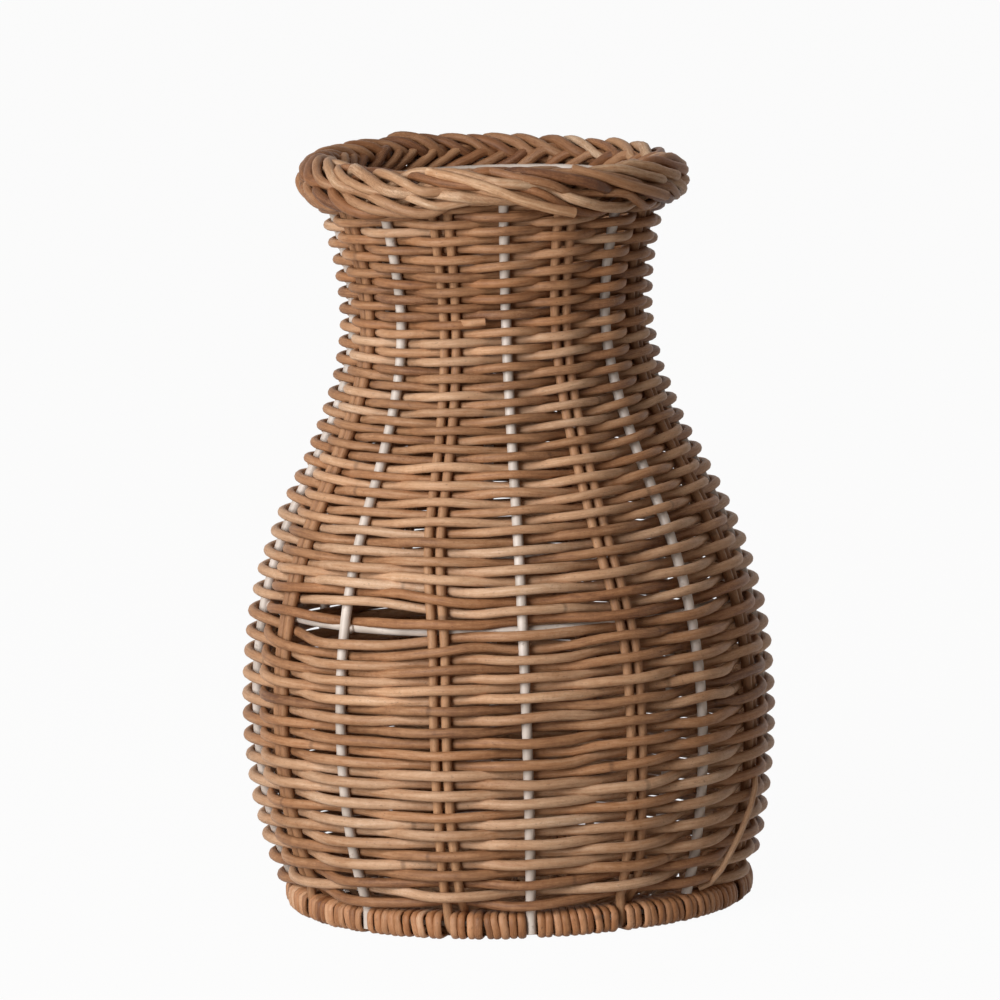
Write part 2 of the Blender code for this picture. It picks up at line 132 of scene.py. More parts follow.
world = bpy.data.worlds.new("soft daylight")
bpy.context.scene.world = world
world.use_nodes = True
sky = world.node_tree
sky.nodes.clear()
sky_light = add_node(sky, "ShaderNodeBackground", Color=linear(SKY_COLOUR), Strength=SKY_LIGHT)
sky_white = add_node(sky, "ShaderNodeBackground", Color=(1, 1, 1, 1), Strength=1.0)
sky_mix = add_node(sky, "ShaderNodeMixShader",
                   {0: seen_directly(sky), 1: sky_light.outputs[0], 2: sky_white.outputs[0]})
add_node(sky, "ShaderNodeOutputWorld", {"Surface": sky_mix.outputs[0]})

# Uncoated white paper: matt, with a faint grain. A pattern's scale is its repeats a metre, in whole numbers.
white_sweep = empty_material("matt white paper sweep")
paper = white_sweep.node_tree
paper_grain = add_node(paper, "ShaderNodeTexNoise", Scale=round(1000 / FLOOR_GRAIN_MM), Detail=2.0)
paper_tone = add_node(paper, "ShaderNodeMix",
                      {0: paper_grain.outputs[0], 6: linear(FLOOR_COLOUR), 7: linear(FLOOR_GRAIN_COLOUR)},
                      data_type="RGBA")
paper_matt = add_node(paper, "ShaderNodeBsdfDiffuse", {"Color": paper_tone.outputs[2]})
paper_glow = add_node(paper, "ShaderNodeEmission", Color=(1, 1, 1, 1), Strength=1.0)
glow_share = add_node(paper, "ShaderNodeMath", {0: seen_directly(paper), 1: FLOOR_GLOW}, operation="MULTIPLY")
paper_mix = add_node(paper, "ShaderNodeMixShader",
                     {0: glow_share.outputs[0], 1: paper_matt.outputs[0], 2: paper_glow.outputs[0]})
add_node(paper, "ShaderNodeOutputMaterial", {"Surface": paper_mix.outputs[0]})

floor_mesh = bpy.data.meshes.new("floor")
h = FLOOR_HALF_SIZE
floor_mesh.from_pydata([(-h, -h, 0), (h, -h, 0), (h, h, 0), (-h, h, 0)], [], [(0, 1, 2, 3)])
floor_mesh.materials.append(white_sweep)
floor_sweep = bpy.data.objects.new("floor_sweep", floor_mesh)
bpy.context.scene.collection.objects.link(floor_sweep)

for name, (stand, aim, side, watts, colour) in SOFT_BOXES.items():
    light = bpy.data.lights.new(name, "AREA")
    light.shape = "SQUARE"
    light.size = side
    light.energy = watts
    light.color = linear(colour)[:3]
    lamp = bpy.data.objects.new(name, light)
    bpy.context.scene.collection.objects.link(lamp)
    lamp.location = stand
    lamp.rotation_mode = "QUATERNION"
    lamp.rotation_quaternion = (Vector(aim) - Vector(stand)).to_track_quat("-Z", "Y")


# Steel frame: eight uprights and three hoops of round mild steel wire, welded where they meet and sprayed
# with one coat of warm grey paint. A wire stands in front at azimuth 0, and azimuths run to the right.
FOOT_RADIUS = 0.1056
BELLY_RADIUS = 0.1202
SHOULDER_RADIUS = 0.0944
NECK_RADIUS = 0.0681
MOUTH_RADIUS = 0.0788
FOOT_HEIGHT = 0.0132
BELLY_HEIGHT = 0.0950
SHOULDER_HEIGHT = 0.2050
NECK_HEIGHT = 0.2870
FOOT_FLARE = 0.40
SHOULDER_SLOPE = -0.52
MOUTH_FLARE = 0.30
WIRE_COUNT = 8
WIRE_DIAMETER = 0.0049
WIRE_END_HEIGHT = 0.0025
WARP_TOP = 0.3520
HOOP_DIAMETER = 0.0045
BASE_HOOP_DIAMETER = 0.0064
BELLY_HOOP_HEIGHT = 0.1475
RIM_HOOP_HEIGHT = 0.3450
STAKE_DIAMETER = 0.0046
TOUCH_GAP = 0.0003
WELD_THICKNESS = 0.0052
# Half the length of a weld: the least, and how much more it may be.
WELD_HALF = 0.0030
WELD_HALF_MORE = 0.0008
PAINT_THIN = "#BAAEA2"
PAINT_FULL = "#D7CBC0"
PAINT_RUBBED = "#7E6B57"
PAINT_CLOUD_MM = 16.67
PAINT_RUB_MM = 4.167
# The belly is a little fuller on both sides than in front, and the foot is fuller on its right.
FULLER_BELLY = 0.0010
FULLER_BELLY_TOP = 0.200
FULLER_FOOT = 0.0040
FULLER_FOOT_TOP = 0.060


def cubic(t, start, end, start_slope, end_slope, span):
    """Value at t of the cubic between two radii with the slopes given, over a height span."""
    a = 2 * t ** 3 - 3 * t ** 2 + 1
    b = t ** 3 - 2 * t ** 2 + t
    c = t ** 3 - t ** 2
    return a * start + b * span * start_slope + (1 - a) * end + c * span * end_slope


def warp_radius(z):
    """Radius at height z of the line that wires and stakes follow."""
    stations = (
        (FOOT_HEIGHT, FOOT_RADIUS, FOOT_FLARE),
        (BELLY_HEIGHT, BELLY_RADIUS, 0.0),
        (SHOULDER_HEIGHT, SHOULDER_RADIUS, SHOULDER_SLOPE),
        (NECK_HEIGHT, NECK_RADIUS, 0.0),
        (RIM_HOOP_HEIGHT, MOUTH_RADIUS, MOUTH_FLARE),
    )
    if z <= FOOT_HEIGHT:
        return FOOT_RADIUS
    if z >= RIM_HOOP_HEIGHT:
        return MOUTH_RADIUS + MOUTH_FLARE * (z - RIM_HOOP_HEIGHT)
    for low, high in zip(stations, stations[1:]):
        if z <= high[0]:
            span = high[0] - low[0]
            return cubic((z - low[0]) / span, low[1], high[1], low[2], high[2], span)


def warp_slope(z):
    """Rate of change of the warp radius at height z."""
    step = 0.0005
    return (warp_radius(z + step) - warp_radius(z - step)) / (2 * step)


def offset_radius(z, distance):
    """Radius of a surface that lies a distance outside the warp line, square to it."""
    return warp_radius(z) + distance * hypot(1.0, warp_slope(z))


def clamp(value, low=0.0, high=1.0):
    return min(max(value, low), high)


def ease(t):
    """Smooth change from 0 to 1 as t goes from 0 to 1."""
    t = clamp(t)
    return t * t * (3 - 2 * t)


def place(radius, azimuth, sideways, z):
    """Point at an azimuth counted from the front, positive to the right, and moved sideways."""
    belly = clamp(4 * (1 - z / FULLER_BELLY_TOP))
    foot = ease(1 - z / FULLER_FOOT_TOP)
    fuller = FULLER_BELLY * belly * sin(azimuth) ** 2 + FULLER_FOOT * foot * max(0.0, sin(azimuth)) ** 2
    radius *= 1.0 + fuller / BELLY_RADIUS
    x = radius * sin(azimuth) + sideways * cos(azimuth)
    y = -radius * cos(azimuth) + sideways * sin(azimuth)
    return Vector((x, y, z))


def rod_sweep_tree():
    """Turns polylines to rods. Each point carries thick, its share of the full diameter.

    A flat strand is wider than it is thick: Width is its width over its thickness.

    The mesh keeps rod, a number for each rod, along, the metres from its end, and section, the place on
    its round section, so that a finish can follow the rod."""
    tree = bpy.data.node_groups.new("round rods along lines", "GeometryNodeTree")
    socket = tree.interface.new_socket
    socket("Geometry", in_out="INPUT", socket_type="NodeSocketGeometry")
    socket("Diameter", in_out="INPUT", socket_type="NodeSocketFloat")
    socket("Width", in_out="INPUT", socket_type="NodeSocketFloat")
    socket("Sides", in_out="INPUT", socket_type="NodeSocketInt")
    socket("Finish", in_out="INPUT", socket_type="NodeSocketMaterial")
    socket("Geometry", in_out="OUTPUT", socket_type="NodeSocketGeometry")
    given = add_node(tree, "NodeGroupInput")
    line = add_node(tree, "GeometryNodeMeshToCurve", {"Mesh": given.outputs["Geometry"]})
    measure = add_node(tree, "GeometryNodeSplineParameter")
    marked = add_node(tree, "GeometryNodeStoreNamedAttribute",
                      {"Geometry": line.outputs[0], "Value": measure.outputs["Length"]},
                      data_type="FLOAT", domain="POINT", Name="along")
    radius = add_node(tree, "ShaderNodeMath", {0: given.outputs["Diameter"], 1: 0.5}, operation="MULTIPLY")
    circle = add_node(tree, "GeometryNodeCurvePrimitiveCircle",
                      {"Resolution": given.outputs["Sides"], "Radius": radius.outputs[0]}, mode="RADIUS")
    position = add_node(tree, "GeometryNodeInputPosition")
    profile = add_node(tree, "GeometryNodeStoreNamedAttribute",
                       {"Geometry": circle.outputs[0], "Value": position.outputs[0]},
                       data_type="FLOAT_VECTOR", domain="POINT", Name="section")
    thick = add_node(tree, "GeometryNodeInputNamedAttribute", data_type="FLOAT", Name="thick")
    flat = add_node(tree, "ShaderNodeCombineXYZ", {0: given.outputs["Width"], 1: 1.0, 2: 1.0})
    wide = add_node(tree, "GeometryNodeTransform",
                    {"Geometry": profile.outputs[0], "Scale": flat.outputs[0]})
    swept = add_node(tree, "GeometryNodeCurveToMesh",
                     {"Curve": marked.outputs[0], "Profile Curve": wide.outputs[0],
                      "Scale": thick.outputs[0], "Fill Caps": True})
    smooth = add_node(tree, "GeometryNodeSetShadeSmooth", {"Geometry": swept.outputs[0]})
    real = add_node(tree, "GeometryNodeRealizeInstances", {"Geometry": smooth.outputs[0]})
    finished = add_node(tree, "GeometryNodeSetMaterial",
                        {"Geometry": real.outputs[0], "Material": given.outputs["Finish"]})
    add_node(tree, "NodeGroupOutput", {"Geometry": finished.outputs[0]})
    return tree


rod_sweep = rod_sweep_tree()


def rods(name, runs, diameter, sides, finish, width=1.0):
    """One mesh of rods. A run is (points, thicknesses, number, closed)."""
    verts = []
    edges = []
    thick = []
    number = []
    for points, shares, tag, closed in runs:
        first = len(verts)
        verts += [tuple(p) for p in points]
        edges += [(first + i, first + i + 1) for i in range(len(points) - 1)]
        if closed:
            edges.append((first + len(points) - 1, first))
        thick += list(shares)
        number += [tag] * len(points)
    lines = bpy.data.meshes.new(name + "_lines")
    lines.from_pydata(verts, edges, [])
    lines.attributes.new("thick", "FLOAT", "POINT").data.foreach_set("value", thick)
    lines.attributes.new("rod", "FLOAT", "POINT").data.foreach_set("value", number)
    source = bpy.data.objects.new(name + "_lines", lines)
    bpy.context.scene.collection.objects.link(source)
    modifier = source.modifiers.new("rods", "NODES")
    modifier.node_group = rod_sweep
    ids = {item.name: item.identifier for item in rod_sweep.interface.items_tree if item.in_out == "INPUT"}
    modifier[ids["Diameter"]] = diameter
    modifier[ids["Width"]] = width
    modifier[ids["Sides"]] = sides
    modifier[ids["Finish"]] = finish
    bpy.context.view_layer.update()
    evaluated = source.evaluated_get(bpy.context.evaluated_depsgraph_get())
    mesh = bpy.data.meshes.new_from_object(evaluated)
    source.modifiers.remove(modifier)
    bpy.data.objects.remove(source)
    mesh.name = name
    bm = bmesh.new()
    bm.from_mesh(mesh)
    bmesh.ops.remove_doubles(bm, verts=bm.verts, dist=0.000002)
    bmesh.ops.recalc_face_normals(bm, faces=bm.faces)
    bm.to_mesh(mesh)
    bm.free()
    piece = bpy.data.objects.new(name, mesh)
    bpy.context.scene.collection.objects.link(piece)
    return piece


def sprayed_steel():
    """Mild steel under one thin sprayed coat of warm grey paint.

    The paint has a low satin sheen. It clouds slightly in tone where the coat is thin, and carries small
    brown rubs where the weaving rods were pulled across it."""
    material = empty_material("sprayed grey paint on mild steel wire")
    tree = material.node_tree
    where = add_node(tree, "ShaderNodeTexCoord")
    cloud = add_node(tree, "ShaderNodeTexNoise", {"Vector": where.outputs["Object"]},
                     Scale=round(1000 / PAINT_CLOUD_MM), Detail=3.0)
    rub = add_node(tree, "ShaderNodeTexNoise", {"Vector": where.outputs["Object"]},
                   Scale=round(1000 / PAINT_RUB_MM), Detail=4.0, Roughness=0.6)
    paint = add_node(tree, "ShaderNodeValToRGB", {0: cloud.outputs[0]})
    rubbed = add_node(tree, "ShaderNodeValToRGB", {0: rub.outputs[0]})
    for ramp, end, position, colour in (
        (paint, 0, 0.35, linear(PAINT_THIN)),
        (paint, 1, 0.65, linear(PAINT_FULL)),
        (rubbed, 0, 0.62, (0, 0, 0, 1)),
        (rubbed, 1, 0.72, (0.55, 0.55, 0.55, 1)),
    ):
        ramp.color_ramp.elements[end].position = position
        ramp.color_ramp.elements[end].color = colour
    tone = add_node(tree, "ShaderNodeMix",
                    {0: rubbed.outputs[0], 6: paint.outputs[0], 7: linear(PAINT_RUBBED)}, data_type="RGBA")
    gloss = add_node(tree, "ShaderNodeMapRange", {"Value": cloud.outputs[0], "To Min": 0.38, "To Max": 0.52})
    bump = add_node(tree, "ShaderNodeBump", {"Height": rub.outputs[0]}, Strength=0.15, Distance=0.0003)
    shader = add_node(tree, "ShaderNodeBsdfPrincipled", {
        "Base Color": tone.outputs[2],
        "Roughness": gloss.outputs[0],
        "Normal": bump.outputs[0],
    }, IOR=1.5)
    add_node(tree, "ShaderNodeOutputMaterial", {"Surface": shader.outputs[0]})
    return material


steel_paint = sprayed_steel()


def heights(low, high, step):
    """Even heights from low to high, about a step apart."""
    count = max(1, round((high - low) / step))
    return [low + (high - low) * i / count for i in range(count + 1)]


wire_runs = []
for i in range(WIRE_COUNT):
    azimuth = i * tau / WIRE_COUNT
    line = [place(warp_radius(z), azimuth, 0.0, z) for z in heights(WIRE_END_HEIGHT, WARP_TOP, 0.005)]
    wire_runs.append((line, [1.0] * len(line), i / WIRE_COUNT, False))
wires = rods("frame_wires", wire_runs, WIRE_DIAMETER, 12, steel_paint)
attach(wires, "root")
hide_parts(*["wire_%d" % (i + 1) for i in range(WIRE_COUNT)])


# Hoops: three rings bent of the same steel wire and painted with it. The thick base hoop is bound into the
# foot. The belly and rim hoops stand inside the wires, with a small weld at each.
def base_hoop_radius():
    return FOOT_RADIUS - WIRE_DIAMETER / 2 - TOUCH_GAP - BASE_HOOP_DIAMETER / 2


def base_hoop_height():
    """The stakes loop under the base hoop and stay clear of the ground."""
    return STAKE_DIAMETER + 2 * TOUCH_GAP + BASE_HOOP_DIAMETER / 2


def inner_hoop_radius(z):
    return offset_radius(z, -(WIRE_DIAMETER + HOOP_DIAMETER) / 2 - TOUCH_GAP)


def hoop_run(radius, z, thickness):
    count = 144
    line = [place(radius, tau * i / count, 0.0, z) for i in range(count)]
    return (line, [thickness] * count, 0.5, True)


def weld_bead(radius, azimuth, z, generator):
    """Short blob of weld metal between a wire and a hoop, a little longer along the hoop."""
    half = WELD_HALF + WELD_HALF_MORE * generator.random()
    fullness = (0.35, 0.85, 1.0, 0.9, 0.4)
    line = [place(radius, azimuth + (k - 2) * half / 2 / radius, 0.0, z + 0.0003 * generator.uniform(-1, 1))
            for k in range(5)]
    return (line, [share * (WELD_THICKNESS / HOOP_DIAMETER) for share in fullness], 0.5, False)


chance = random.Random(11)
hoop_runs = [
    hoop_run(base_hoop_radius(), base_hoop_height(), BASE_HOOP_DIAMETER / HOOP_DIAMETER),
    hoop_run(inner_hoop_radius(BELLY_HOOP_HEIGHT), BELLY_HOOP_HEIGHT, 1.0),
    hoop_run(inner_hoop_radius(RIM_HOOP_HEIGHT), RIM_HOOP_HEIGHT, 1.0),
]
for i in range(WIRE_COUNT):
    for z in (BELLY_HOOP_HEIGHT, RIM_HOOP_HEIGHT):
        radius = (inner_hoop_radius(z) + warp_radius(z)) / 2
        hoop_runs.append(weld_bead(radius, i * tau / WIRE_COUNT, z, chance))
hoops = rods("frame_hoops", hoop_runs, HOOP_DIAMETER, 12, steel_paint)
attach(hoops, "root")
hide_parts("base_hoop", "belly_hoop", "rim_hoop")


# Stakes: eight lengths of round rattan core, each doubled round the base hoop, with its two legs standing
# side by side midway between two wires. They are held by the weave and end under the border.
STAKE_SPACING = 0.0059
STAKE_SPACING_FOOT = 0.0080
STAKE_SPACING_MOUTH = 0.0080
STAKE_LOOP_TURN = radians(280)
STAKE_LOOP_SHARE = 0.85
STAKE_SPREAD_SHARE = 0.25
# A leg follows the wall down to its bottom, and then bends in to loop round the base hoop.
STAKE_LEG_BOTTOM = 0.0240
STAKE_BEND_HEIGHT = 0.0172
STAKE_BEND_OUT = 0.0004
# Below the shoulder the first and last stakes stand a few degrees to the right of the middle.
STAKE_SHIFTS = {0: 3.2, 7: 3.0}
STAKE_SHIFT_LOW = 0.130
STAKE_SHIFT_HIGH = 0.200
# Patterns in the skin of the rattan: size in millimetres, how many times longer it is along the rod, detail
# and roughness. The streaks are bundles of fibres, drawn coarser than the real ones so that they show.
RATTAN_PATTERNS = {
    "drift": (22.2, 3.0, 3.0, 0.5),
    "streak": (1.111, 14.0, 3.0, 0.6),
    "fibre": (0.3125, 30.0, 2.0, 0.6),
    "mottle": (2.381, 1.6, 4.0, 0.65),
    "speck": (0.6667, 2.2, 2.0, 0.7),
}
RATTAN_PATCH_MM = 45.45
RATTAN_JOINT_SPACING = 0.62


def rattan(name, tones, fleck, shine, spread=0.46):
    """Rattan, the stem of a climbing palm, as a natural rod with its skin sanded off.

    Each rod has its own tone, and spread says how far they differ. The tone drifts over a few centimetres
    and runs in fine lengthwise streaks where the fibres lie, with a dark ring at each of its rare joints,
    brown specks and a dull, dry surface."""
    material = empty_material(name)
    tree = material.node_tree
    rod = add_node(tree, "ShaderNodeAttribute", attribute_name="rod")
    along = add_node(tree, "ShaderNodeAttribute", attribute_name="along")
    section = add_node(tree, "ShaderNodeAttribute", attribute_name="section")
    shift = add_node(tree, "ShaderNodeMath", {0: rod.outputs["Fac"], 1: 37.0}, operation="MULTIPLY")
    lengthwise = add_node(tree, "ShaderNodeMath", {0: along.outputs["Fac"], 1: shift.outputs[0]},
                          operation="ADD")
    across = add_node(tree, "ShaderNodeSeparateXYZ", {0: section.outputs["Vector"]})
    skin = add_node(tree, "ShaderNodeCombineXYZ",
                    {0: lengthwise.outputs[0], 1: across.outputs[0], 2: across.outputs[1]})
    pattern = {}
    for kind, (size, stretch, detail, roughness) in RATTAN_PATTERNS.items():
        drawn_out = add_node(tree, "ShaderNodeMapping",
                             {"Vector": skin.outputs[0], "Scale": (1 / stretch, 1.0, 1.0)})
        noise = add_node(tree, "ShaderNodeTexNoise", {"Vector": drawn_out.outputs[0]},
                         Scale=round(1000 / size), Detail=detail, Roughness=roughness)
        pattern[kind] = noise.outputs[0]
    where = add_node(tree, "ShaderNodeTexCoord")
    patch = add_node(tree, "ShaderNodeTexNoise", {"Vector": where.outputs["Object"]},
                     Scale=round(1000 / RATTAN_PATCH_MM), Detail=1.0)
    pattern["patch"] = patch.outputs[0]

    tone = add_node(tree, "ShaderNodeTexWhiteNoise", {"W": shift.outputs[0]}, noise_dimensions="1D")
    level = add_node(tree, "ShaderNodeMath", {0: tone.outputs["Value"], 1: spread, 2: -0.33 - spread / 2},
                     operation="MULTIPLY_ADD")
    for kind, share in (("drift", 0.60), ("streak", 0.52), ("mottle", 0.32), ("patch", 0.22)):
        level = add_node(tree, "ShaderNodeMath", {0: pattern[kind], 1: share, 2: level.outputs[0]},
                         operation="MULTIPLY_ADD")
    # Painted shade: the rods from the shoulder up, the border's too, are a shade darker than those of the
    # belly, standing in for the deeper shade among the denser rows there.
    height = add_node(tree, "ShaderNodeSeparateXYZ", {0: where.outputs["Object"]})
    upper_painted_shade = add_node(tree, "ShaderNodeMapRange", {
        "Value": height.outputs[2], "From Min": 0.200, "From Max": 0.265, "To Min": 0.0, "To Max": -0.055,
    })
    level = add_node(tree, "ShaderNodeMath", {0: level.outputs[0], 1: upper_painted_shade.outputs[0]}, operation="ADD")
    ramp = add_node(tree, "ShaderNodeValToRGB", {0: level.outputs[0]})
    ramp.color_ramp.elements[0].position = 0.10
    ramp.color_ramp.elements[0].color = linear(tones[0])
    ramp.color_ramp.elements[1].position = 0.95
    ramp.color_ramp.elements[1].color = linear(tones[3])
    for position, colour in ((0.38, tones[1]), (0.68, tones[2])):
        ramp.color_ramp.elements.new(position).color = linear(colour)
    # Some rods are a little warmer.
    warm = add_node(tree, "ShaderNodeMath", {0: shift.outputs[0], 1: 3.1}, operation="MULTIPLY")
    warm_noise = add_node(tree, "ShaderNodeTexWhiteNoise", {"W": warm.outputs[0]}, noise_dimensions="1D")
    warmth = add_node(tree, "ShaderNodeMath", {0: warm_noise.outputs["Value"], 1: pattern["drift"]},
                      operation="MULTIPLY")
    tint = add_node(tree, "ShaderNodeValToRGB", {0: warmth.outputs[0]})
    tint.color_ramp.elements[0].position = 0.05
    tint.color_ramp.elements[0].color = linear("#FFFFFF")
    tint.color_ramp.elements[1].position = 0.50
    tint.color_ramp.elements[1].color = linear("#FFF3E6")
    hued = add_node(tree, "ShaderNodeMix", {0: 1.0, 6: ramp.outputs[0], 7: tint.outputs[0]},
                    data_type="RGBA", blend_type="MULTIPLY")
    # Each joint is a ring some 2 mm wide with an uneven edge.
    from_joint = add_node(tree, "ShaderNodeMath", {0: lengthwise.outputs[0], 1: RATTAN_JOINT_SPACING / 2},
                          operation="PINGPONG")
    joint_edge = add_node(tree, "ShaderNodeMath", {0: pattern["mottle"], 1: 0.002, 2: from_joint.outputs[0]},
                          operation="MULTIPLY_ADD")
    joint = add_node(tree, "ShaderNodeMapRange", {
        "Value": joint_edge.outputs[0], "From Min": 0.0014, "From Max": 0.0026, "To Min": 0.40, "To Max": 0.0,
    })
    ringed = add_node(tree, "ShaderNodeMix", {0: joint.outputs[0], 6: hued.outputs[2], 7: linear(fleck)},
                      data_type="RGBA")
    speck = add_node(tree, "ShaderNodeMapRange", {
        "Value": pattern["speck"], "From Min": 0.60, "From Max": 0.74, "To Min": 0.0, "To Max": 0.55,
    })
    stained = add_node(tree, "ShaderNodeMix", {0: speck.outputs[0], 6: ringed.outputs[2], 7: linear(fleck)},
                       data_type="RGBA")

    relief = add_node(tree, "ShaderNodeMath", {0: pattern["streak"], 1: pattern["fibre"]}, operation="ADD")
    bump = add_node(tree, "ShaderNodeBump", {"Height": relief.outputs[0]}, Strength=0.55, Distance=0.0002)
    dullness = add_node(tree, "ShaderNodeMapRange",
                        {"Value": pattern["streak"], "To Min": shine, "To Max": shine + 0.16})
    shader = add_node(tree, "ShaderNodeBsdfPrincipled", {
        "Base Color": stained.outputs[2],
        "Roughness": dullness.outputs[0],
        "Normal": bump.outputs[0],
        "Specular IOR Level": 0.35,
    }, IOR=1.46)
    add_node(tree, "ShaderNodeOutputMaterial", {"Surface": shader.outputs[0]})
    return material


stake_cane = rattan("sanded rattan core, stake", ("#5F3E28", "#916A4B", "#B48F6E", "#D1B394"),
                    fleck="#3A2416", shine=0.50, spread=0.26)


def stake_spread(z):
    """Half the distance between the two legs of a stake at height z."""
    low_end = FOOT_HEIGHT + STAKE_SPREAD_SHARE * (SHOULDER_HEIGHT - FOOT_HEIGHT)
    if z < low_end:
        share = (low_end - z) / (low_end - FOOT_HEIGHT)
        return (STAKE_SPACING + (STAKE_SPACING_FOOT - STAKE_SPACING) * min(share, 1.0)) / 2
    if z > NECK_HEIGHT:
        share = (z - NECK_HEIGHT) / (WARP_TOP - NECK_HEIGHT)
        return (STAKE_SPACING + (STAKE_SPACING_MOUTH - STAKE_SPACING) * share) / 2
    return STAKE_SPACING / 2


def stake_shift(number, z):
    """How far a stake stands to the right of the middle between its two wires, at height z."""
    share = (STAKE_SHIFT_HIGH - z) / (STAKE_SHIFT_HIGH - STAKE_SHIFT_LOW)
    return radians(STAKE_SHIFTS.get(number % WIRE_COUNT, 0.0)) * ease(share)


def stake_azimuth(number, z):
    return (number + 0.5) * tau / WIRE_COUNT + stake_shift(number, z)


def stake_line(number):
    """Down one leg, once round the base hoop and up the other leg."""
    azimuth = stake_azimuth(number, 0.0)
    turn = (BASE_HOOP_DIAMETER + STAKE_DIAMETER) / 2 + TOUCH_GAP
    legs = [(warp_radius(z), stake_spread(z), z) for z in heights(STAKE_LEG_BOTTOM, WARP_TOP, 0.005)]
    spread = stake_spread(STAKE_LEG_BOTTOM)
    points = [place(r, stake_azimuth(number, z), -s, z) for r, s, z in reversed(legs)]
    points.append(place(FOOT_RADIUS + STAKE_BEND_OUT, azimuth, -spread, STAKE_BEND_HEIGHT))
    steps = 18
    for i in range(steps + 1):
        angle = STAKE_LOOP_TURN * i / steps
        side = spread * (2 * i / steps - 1) * STAKE_LOOP_SHARE
        radius = base_hoop_radius() + turn * cos(angle)
        points.append(place(radius, azimuth, side, base_hoop_height() - turn * sin(angle)))
    points += [place(r, stake_azimuth(number, z), s, z) for r, s, z in legs]
    return points


chance = random.Random(23)
stake_runs = []
for i in range(WIRE_COUNT):
    line = stake_line(i)
    shares = [1.0 + 0.03 * chance.uniform(-1, 1) for _ in line]
    stake_runs.append((line, shares, chance.random(), False))
stakes = rods("doubled_stakes", stake_runs, STAKE_DIAMETER, 10, stake_cane)
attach(stakes, "root")
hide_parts(*["stake_%d" % (i + 1) for i in range(WIRE_COUNT)])


# Woven rods: round rattan woven by hand in plain weave, two weavers chasing each other so that one is in
# front of a wire where the other is behind it. New rods are laid in behind a warp where one runs out.
WARPS = 2 * WIRE_COUNT
ROD_DIAMETER = 0.0047
# A rod is this share of ROD_DIAMETER thick, less or more by these, and crosses this many warps.
ROD_FULL = 1.035
ROD_UNEVEN = (-0.075, 0.06)
ROD_WARPS = (13, 34)
# Each weaver starts at this row, and the tip of the first rod is this many warps long.
START_ROW = -0.25
TIP_WARPS = 5
FIRST_ROW_HEIGHT = 0.01585
ROW_PITCH_BELLY = 0.00495
ROW_PITCH_NECK = 0.00405
PITCH_CHANGE_LOW = 0.140
PITCH_CHANGE_HIGH = 0.215
LAST_ROW_HEIGHT = 0.3372
# In front, where the border is thin, the rows run this much higher.
FRONT_ROWS_HIGHER = 0.0062
FRONT_MIDDLE = radians(-2.0)
FRONT_WIDTH = radians(17.0)
POINTS_PER_WARP = 10
# A rod leans out by this share of what stands square to the wall. Where it passes behind a warp it is
# lower at the front and higher at the back. The rods of the neck are thinner and those of the back fuller.
LEAN_SHARE = 0.4
INNER_DROP_FRONT = 0.0010
INNER_RISE_BACK = 0.0010
FULLER_BACK = 0.100
THINNER_NECK = 0.095
# The rows of the shoulder climb towards the right of the front: how much, where, and how far it reaches.
SHOULDER_RISE = 0.0034
RISE_AZIMUTH = radians(64)
RISE_HEIGHT = 0.232
RISE_WIDTH = radians(36)
RISE_REACH = 0.060
# Where the rows have been pushed apart: azimuth, height, half width (degrees), half reach, opening. The
# rods change from being pushed down to being pushed up over PARTED_EDGE.
PARTED_EDGE = 0.0024
PARTED = (
    (-40.0, 0.1538, 22.0, 0.020, 0.0024),
    (-48.0, 0.1476, 28.0, 0.022, 0.0038),
    (4.0, 0.1482, 11.0, 0.014, 0.0021),
    (4.0, 0.0998, 9.0, 0.012, 0.0016),
    (-26.0, 0.1030, 8.0, 0.012, 0.0008),
    (37.0, 0.1180, 7.0, 0.012, 0.0010),
    (62.0, 0.1130, 6.0, 0.014, 0.0014),
    (44.0, 0.1050, 6.0, 0.012, 0.0010),
    (19.0, 0.0830, 7.0, 0.012, 0.0010),
    (29.0, 0.0760, 6.0, 0.012, 0.0009),
    (-120.0, 0.0900, 9.0, 0.014, 0.0009),
    (105.0, 0.0760, 8.0, 0.012, 0.0009),
)


def neck_share(z):
    """0 on the belly and 1 from the shoulder up, where rods and rows are finer."""
    return ease((z - PITCH_CHANGE_LOW) / (PITCH_CHANGE_HIGH - PITCH_CHANGE_LOW))


def row_table():
    """Height of each whole row, from the base ring to the border."""
    table = [FIRST_ROW_HEIGHT]
    while table[-1] < LAST_ROW_HEIGHT + 0.02:
        finer = (ROW_PITCH_NECK - ROW_PITCH_BELLY) * neck_share(table[-1])
        table.append(table[-1] + ROW_PITCH_BELLY + finer)
    return table


rows = row_table()


def turn_from(centre, azimuth):
    """How far to the right of a centre an azimuth lies, from minus half a turn to half a turn."""
    return (azimuth - centre + pi) % tau - pi


def front_share(azimuth):
    """1 in the middle of the front, where the border is thin, and 0 away from it."""
    return exp(-(turn_from(FRONT_MIDDLE, azimuth) / FRONT_WIDTH) ** 4)


def last_row(azimuth):
    return LAST_ROW_HEIGHT + 0.004 + FRONT_ROWS_HIGHER * front_share(azimuth)


def row_height(level):
    """Height of a row number, which need not be whole."""
    if level < 0:
        return rows[0] + level * ROW_PITCH_BELLY
    whole = min(int(level), len(rows) - 2)
    return rows[whole] + (level - whole) * (rows[whole + 1] - rows[whole])


def parting(azimuth, z):
    """How far a rod is pushed up or down from the nearest parted places."""
    push = 0.0
    for centre, height, half_width, reach, opening in PARTED:
        across = turn_from(radians(centre), azimuth) / radians(half_width)
        if abs(across) > 1.6:
            continue
        window = exp(-across ** 4)
        up = z - height
        push += opening * window * tanh(up / PARTED_EDGE) * exp(-(up / reach) ** 2)
    return push


